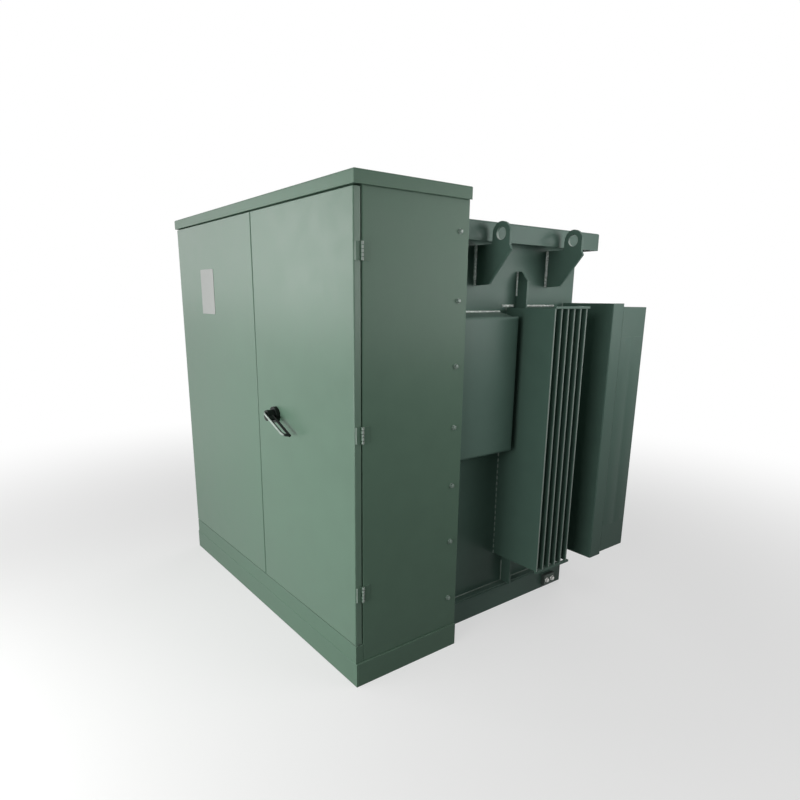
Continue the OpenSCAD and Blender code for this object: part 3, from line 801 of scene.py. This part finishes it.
class TRANSFORMER_OT_weld_beads(bpy.types.Operator):
    """Add the weld beads of the lugs, ribs, boxes, fins, headers and the tank's foot"""

    bl_idname = "transformer.weld_beads"
    bl_label = "Weld beads"

    seam = 1.506
    seam_fin_lead = 0.03
    seam_rib_lead = 0.02
    seam_rib_tail = 0.05
    seam_head_gap = 0.07
    stitch = 0.016
    stitch_pitch = 0.030
    lug_plate = 0.012
    lug_foot_gap = 0.012
    rib_top_weld = 0.108
    rib_foot_weld = 0.113
    rib_stitches = ((1.0, 1.12), (0.62, 0.74))

    def execute(self, context):
        settings = context.scene.transformer_welds
        wall_low = box_low("tank_right_wall")
        wall_high = box_high("tank_right_wall")
        wall = wall_high.x
        foot = wall_low.z
        lug_low, lug_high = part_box("right_lifting_lugs")
        foot_top = box_low("tank_cover").z - self.lug_foot_gap
        lug_faces = (lug_low.y, lug_low.y + self.lug_plate, lug_high.y - self.lug_plate, lug_high.y)
        lug_lines = [((wall, y, lug_low.z), (wall, y, foot_top)) for y in lug_faces]
        rib_low, rib_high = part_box("right_wall_rib")
        fin_low, fin_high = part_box("right_fins")
        head_low, head_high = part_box("right_corner_header")
        case_low, case_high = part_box("right_side_box")
        stitches = ((rib_high.z - self.rib_top_weld, rib_high.z), *self.rib_stitches)
        lines = [
            ((wall, y, low), (wall, y, high))
            for y in (rib_low.y, rib_high.y)
            for low, high in stitches
        ]
        for start, end, z in (
            (case_low.y, case_high.y, case_high.z),
            (fin_low.y - self.seam_fin_lead, rib_low.y - self.seam_rib_lead, self.seam),
            (rib_high.y + self.seam_rib_tail, head_low.y - self.seam_head_gap, self.seam),
        ):
            lines.append(((wall, start, z), (wall, end, z)))
        steps = int((fin_high.z - fin_low.z) / self.stitch_pitch)
        starts = [fin_low.z + i * self.stitch_pitch for i in range(steps + 1)]
        fine = [((wall, fin_low.y, z), (wall, fin_low.y, z + self.stitch)) for z in starts]
        fine.append(((wall, rib_low.y, foot), (wall, rib_low.y, foot + self.rib_foot_weld)))
        fine.append(((wall, head_low.y, head_low.z), (wall, head_low.y, head_high.z)))
        fine.append(((wall, wall_low.y, foot), (wall, wall_high.y, foot)))
        for name, wanted, radius, paint_name in (
            ("lug_weld_beads", lug_lines, settings.lug_bead, "weld_green"),
            ("wall_weld_beads", lines, settings.wall_bead, "weld_green"),
            ("fine_weld_beads", fine, settings.fine_bead, "bolt_green"),
        ):
            both = [[(side * x, y, z) for x, y, z in line] for side in SIDES for line in wanted]
            grow(
                name, tree_named("weld_beads", bead_tree), line_mesh(name + "_lines", both),
                {"Bead Radius": radius, "Ripple Pitch": settings.ripple_pitch, "Ripple": settings.ripple,
                 "Seed": float(settings.seed), "Material": finish(paint_name)},
                "housing",
            )
        return {"FINISHED"}


class TRANSFORMER_OT_bare_plate(bpy.types.Operator):
    """Add the bare plate on the wide door"""

    bl_idname = "transformer.bare_plate"
    bl_label = "Bare plate"

    low = (-0.559, 1.451)
    high = (-0.386, 1.675)
    corner = 0.007
    corner_steps = 6
    thickness = 0.0012

    def execute(self, context):
        front = box_low("left_door").y
        outline = []
        for x, z, start in (
            (self.high[0] - self.corner, self.high[1] - self.corner, 0),
            (self.low[0] + self.corner, self.high[1] - self.corner, 90),
            (self.low[0] + self.corner, self.low[1] + self.corner, 180),
            (self.high[0] - self.corner, self.low[1] + self.corner, 270),
        ):
            for i in range(self.corner_steps + 1):
                turn = math.radians(start + 90 * i / self.corner_steps)
                outline.append((x + self.corner * math.cos(turn), z + self.corner * math.sin(turn)))
        shape = bmesh.new()
        face = shape.faces.new([shape.verts.new((x, front, z)) for x, z in outline])
        grown = bmesh.ops.extrude_face_region(shape, geom=[face])
        moved = [item for item in grown["geom"] if isinstance(item, bmesh.types.BMVert)]
        bmesh.ops.translate(shape, verts=moved, vec=(0, -self.thickness, 0))
        bmesh.ops.recalc_face_normals(shape, faces=shape.faces)
        mesh = bpy.data.meshes.new("bare_plate")
        shape.to_mesh(mesh)
        shape.free()
        mesh.materials.append(finish("plate_face"))
        seat("bare_plate", mesh, "left_door_leaf")
        return {"FINISHED"}


class TRANSFORMER_OT_flange_nuts(bpy.types.Operator):
    """Add the nuts that clamp each bushing's flange, behind the doors"""

    bl_idname = "transformer.flange_nuts"
    bl_label = "Flange nuts"

    count = 4
    first_turn = 45
    flange = 0.014
    hv_places = (-0.650, -0.420, -0.190)
    hv_ring = 0.053
    lv_places = (0.220, 0.390, 0.560, 0.730)
    lv_ring = 0.048

    def execute(self, context):
        settings = context.scene.transformer_fasteners
        points = []
        for node, places, ring in (
            ("hv_bushings", self.hv_places, self.hv_ring),
            ("lv_bushings", self.lv_places, self.lv_ring),
        ):
            low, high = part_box(node)
            z = (low.z + high.z) / 2
            for x in places:
                for i in range(self.count):
                    turn = math.radians(self.first_turn + 360 * i / self.count)
                    place = (x + ring * math.cos(turn), high.y - self.flange, z + ring * math.sin(turn))
                    points.append((place, (0, -1, 0)))
        grow(
            "flange_nuts", tree_named("hex_bolts", bolt_tree), point_mesh("flange_nut_points", points),
            {"Head Radius": settings.flange_nut, "Washer Radius": NUT_WASHER_SHARE * settings.flange_nut,
             "Head Height": NUT_HEIGHT, "Seed": settings.seed, "Material": finish("bright_steel")},
            "housing",
        )
        return {"FINISHED"}


class TRANSFORMER_OT_stage(bpy.types.Operator):
    """Add the floor, the softboxes, the white surround and the camera"""

    bl_idname = "transformer.stage"
    bl_label = "Stage"

    floor_radius = 14.0
    fade_start = 1.6
    fade_end = 5.0
    frame_lens = 26.71
    frame_shift = (0.0171, 0.0580)
    sensor = 36.0
    doors = (0.0, -0.8, 1.1)
    softboxes = (
        ("front_softbox", "key_power", (0.4, -2.9, 0.85), (0.3, -0.8, 0.9), (2.4, 0.9), 180.0),
        ("left_softbox", "side_power", (-5.0, -4.1, 2.35), doors, (5.6, 1.8), 180.0),
        ("sheen_softbox", "sheen_power", (-4.7, -4.6, 2.15), doors, (2.0, 2.2), 180.0),
        ("right_softbox", "right_power", (2.8, 1.45, 1.85), (0.9, -0.4, 2.3), (2.2, 1.4), 120.0),
        ("fill_softbox", "fill_power", (3.1, -6.1, 2.3), (0.9, 0.0, 1.1), (2.0, 2.0), 180.0),
        ("rear_softbox", "rear_power", (-3.0, 5.2, 2.4), (-0.4, 0.6, 1.0), (4.0, 2.4), 180.0),
        ("overhead_softbox", "over_power", (1.4, 0.2, 4.8), (1.4, 0.2, 0.0), (6.0, 6.0), 180.0),
    )

    def seen_share(self, tree):
        """1 for rays that show the surround itself: camera, mirror and glass rays."""
        path = put(tree, "ShaderNodeLightPath").outputs
        seen = maths(tree, "MAXIMUM", path["Is Camera Ray"], path["Is Glossy Ray"])
        return maths(tree, "MAXIMUM", seen, path["Is Transmission Ray"])

    def floor(self, context, settings):
        shape = bmesh.new()
        bmesh.ops.create_circle(shape, cap_ends=True, radius=self.floor_radius, segments=96)
        mesh = bpy.data.meshes.new("studio_floor")
        shape.to_mesh(mesh)
        shape.free()
        material, tree, shader = blank_material("studio_floor")
        place = put(tree, "ShaderNodeTexCoord").outputs["Object"]
        grain = put(tree, "ShaderNodeTexNoise", {"Vector": place, "Scale": 3.0, "Detail": 5.0})
        pale = opaque(settings.floor_colour)
        darker = opaque([0.985 * part for part in settings.floor_colour])
        matt = opaque([settings.floor_bounce] * 3)
        seen = self.seen_share(tree)
        shown = blend_colour(tree, grain.outputs["Fac"], darker, pale)
        tree.links.new(blend_colour(tree, seen, matt, shown), shader.inputs["Base Color"])
        shader.inputs["Roughness"].default_value = 0.9
        shader.inputs["Specular IOR Level"].default_value = 0.1
        reach = put(tree, "ShaderNodeVectorMath", {0: place}, operation="LENGTH").outputs["Value"]
        fade = put(
            tree, "ShaderNodeMapRange",
            {"Value": reach, "From Min": self.fade_start, "From Max": self.fade_end,
             "To Min": settings.floor_lift},
            interpolation_type="SMOOTHSTEP",
        ).outputs["Result"]
        white = put(tree, "ShaderNodeEmission", {"Color": (1, 1, 1, 1), "Strength": 1.0})
        mixed = put(tree, "ShaderNodeMixShader", {0: maths(tree, "MULTIPLY", fade, seen)})
        tree.links.new(shader.outputs[0], mixed.inputs[1])
        tree.links.new(white.outputs[0], mixed.inputs[2])
        tree.links.new(mixed.outputs[0], tree.nodes["Material Output"].inputs["Surface"])
        mesh.materials.append(material)
        floor = bpy.data.objects.new("studio_floor", mesh)
        context.scene.collection.objects.link(floor)

    def surround(self, context, settings):
        world = bpy.data.worlds.new("studio_surround")
        world.use_nodes = True
        tree = world.node_tree
        tree.nodes.clear()
        soft = put(tree, "ShaderNodeBackground", {"Color": (1, 1, 1, 1), "Strength": settings.sky_level})
        white = put(tree, "ShaderNodeBackground", {"Color": (1, 1, 1, 1), "Strength": 1.0})
        mixed = put(tree, "ShaderNodeMixShader", {0: self.seen_share(tree)})
        tree.links.new(soft.outputs[0], mixed.inputs[1])
        tree.links.new(white.outputs[0], mixed.inputs[2])
        put(tree, "ShaderNodeOutputWorld", {"Surface": mixed.outputs[0]})
        context.scene.world = world

    def softbox(self, context, name, power, place, aim, size, spread):
        lamp = bpy.data.lights.new(name, "AREA")
        lamp.spread = math.radians(spread)
        lamp.shape = "RECTANGLE"
        lamp.size, lamp.size_y = size
        lamp.energy = power
        holder = bpy.data.objects.new(name, lamp)
        holder.location = place
        holder.rotation_euler = (Vector(aim) - Vector(place)).to_track_quat("-Z", "Y").to_euler()
        holder.visible_camera = False
        context.scene.collection.objects.link(holder)

    def camera(self, context, settings):
        lens = bpy.data.cameras.new("photo_camera")
        lens.sensor_width = self.sensor
        lens.lens = self.frame_lens
        lens.shift_x, lens.shift_y = self.frame_shift
        lens.clip_end = 100.0
        holder = bpy.data.objects.new("photo_camera", lens)
        turn = Matrix.Rotation(settings.camera_heading, 4, "Z")
        tip = Matrix.Rotation(math.pi / 2 - settings.camera_dip, 4, "X")
        roll = Matrix.Rotation(settings.camera_roll, 4, "Z")
        holder.matrix_world = Matrix.Translation(settings.camera_place) @ turn @ tip @ roll
        context.scene.collection.objects.link(holder)
        context.scene.camera = holder

    def execute(self, context):
        settings = context.scene.transformer_stage
        self.floor(context, settings)
        self.surround(context, settings)
        for name, power, place, aim, size, spread in self.softboxes:
            self.softbox(context, name, getattr(settings, power), place, aim, size, spread)
        self.camera(context, settings)
        context.scene.view_settings.view_transform = "Standard"
        return {"FINISHED"}


OPERATORS = (
    TRANSFORMER_OT_finish_steelwork,
    TRANSFORMER_OT_panel_bolts,
    TRANSFORMER_OT_ground_bolts,
    TRANSFORMER_OT_weld_beads,
    TRANSFORMER_OT_bare_plate,
    TRANSFORMER_OT_flange_nuts,
    TRANSFORMER_OT_stage,
)


class TRANSFORMER_PT_looks(bpy.types.Panel):
    """The transformer's settings and the steps that build its looks"""

    bl_idname = "TRANSFORMER_PT_looks"
    bl_label = "Transformer looks"
    bl_space_type = "VIEW_3D"
    bl_region_type = "UI"
    bl_category = "Transformer"

    def draw(self, context):
        column = self.layout.column()
        for operator in OPERATORS:
            column.operator(operator.bl_idname)
        for name in SETTINGS:
            group = getattr(context.scene, name)
            for key in group.__annotations__:
                column.prop(group, key)


SETTINGS = {
    "transformer_finish": FinishSettings,
    "transformer_fasteners": FastenerSettings,
    "transformer_welds": WeldSettings,
    "transformer_stage": StageSettings,
}


def register():
    for cls in (*SETTINGS.values(), *OPERATORS, TRANSFORMER_PT_looks):
        bpy.utils.register_class(cls)
    for name, group in SETTINGS.items():
        setattr(bpy.types.Scene, name, PointerProperty(type=group))


def unregister():
    for name in SETTINGS:
        delattr(bpy.types.Scene, name)
    for cls in reversed((*SETTINGS.values(), *OPERATORS, TRANSFORMER_PT_looks)):
        bpy.utils.unregister_class(cls)


def main():
    register()
    for operator in OPERATORS:
        family, name = operator.bl_idname.split(".")
        getattr(getattr(bpy.ops, family), name)()


if __name__ == "__main__":
    main()
